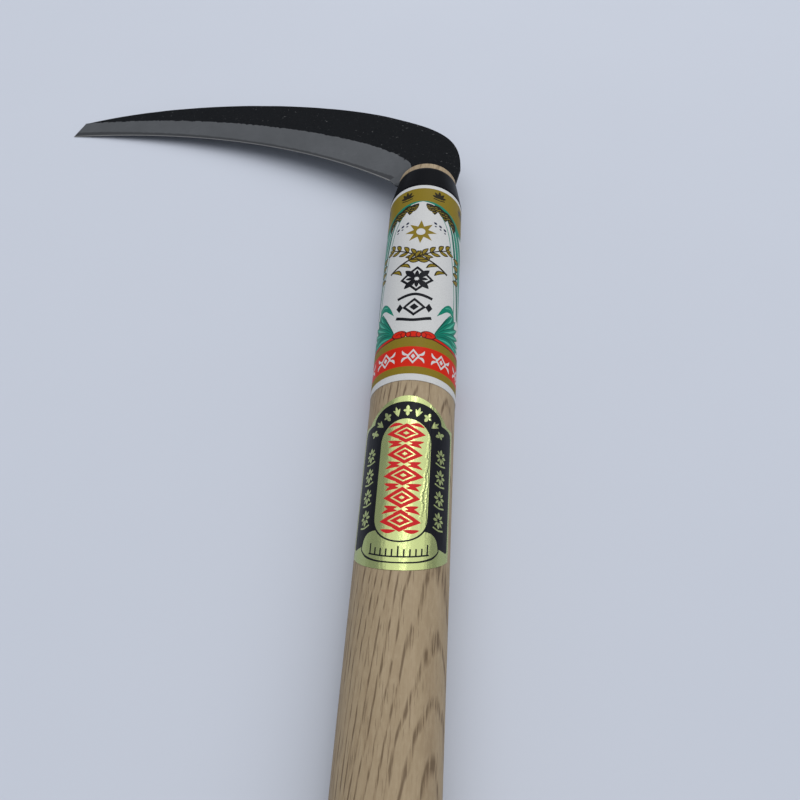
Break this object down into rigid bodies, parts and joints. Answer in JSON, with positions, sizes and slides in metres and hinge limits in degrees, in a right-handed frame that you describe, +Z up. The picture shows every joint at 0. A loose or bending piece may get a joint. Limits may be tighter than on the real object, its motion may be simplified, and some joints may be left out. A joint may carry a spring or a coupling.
{
  "type": "hand sickle",
  "caption": "Hand sickle with a forged single-bevel blade, wooden handle, black ferrule, printed sleeve and foil sticker",
  "frame": {"origin": "centre of the flat butt face of the handle, on the handle's axis", "axes": "+Y runs along the handle to the blade, -X is the side the blade reaches out to, +Z is up as the sickle lies on a table on its ferrule and blade tip"},
  "size_m": [0.1861, 0.4045, 0.0294],
  "materials": {
    "forged_iron": "black forge scale, ground grey on the bevel",
    "edge_steel": "ground and honed",
    "oak": "smooth bare pale oak",
    "ferrule_black": "satin black paint",
    "nail_steel": "plain wire",
    "printed_film": "white film printed in gold, green, red and black",
    "gold_foil": "pale gold foil printed in black and red"
  },
  "bodies": {
    "root": {"blade_body": "forged_iron", "edge_steel": "edge_steel", "handle": "oak", "ferrule": "ferrule_black", "tang_nail_head_end": "nail_steel", "tang_nail_grip_end": "nail_steel", "label_sleeve": "printed_film", "foil_sticker": "gold_foil"}
  },
  "joints": []
}
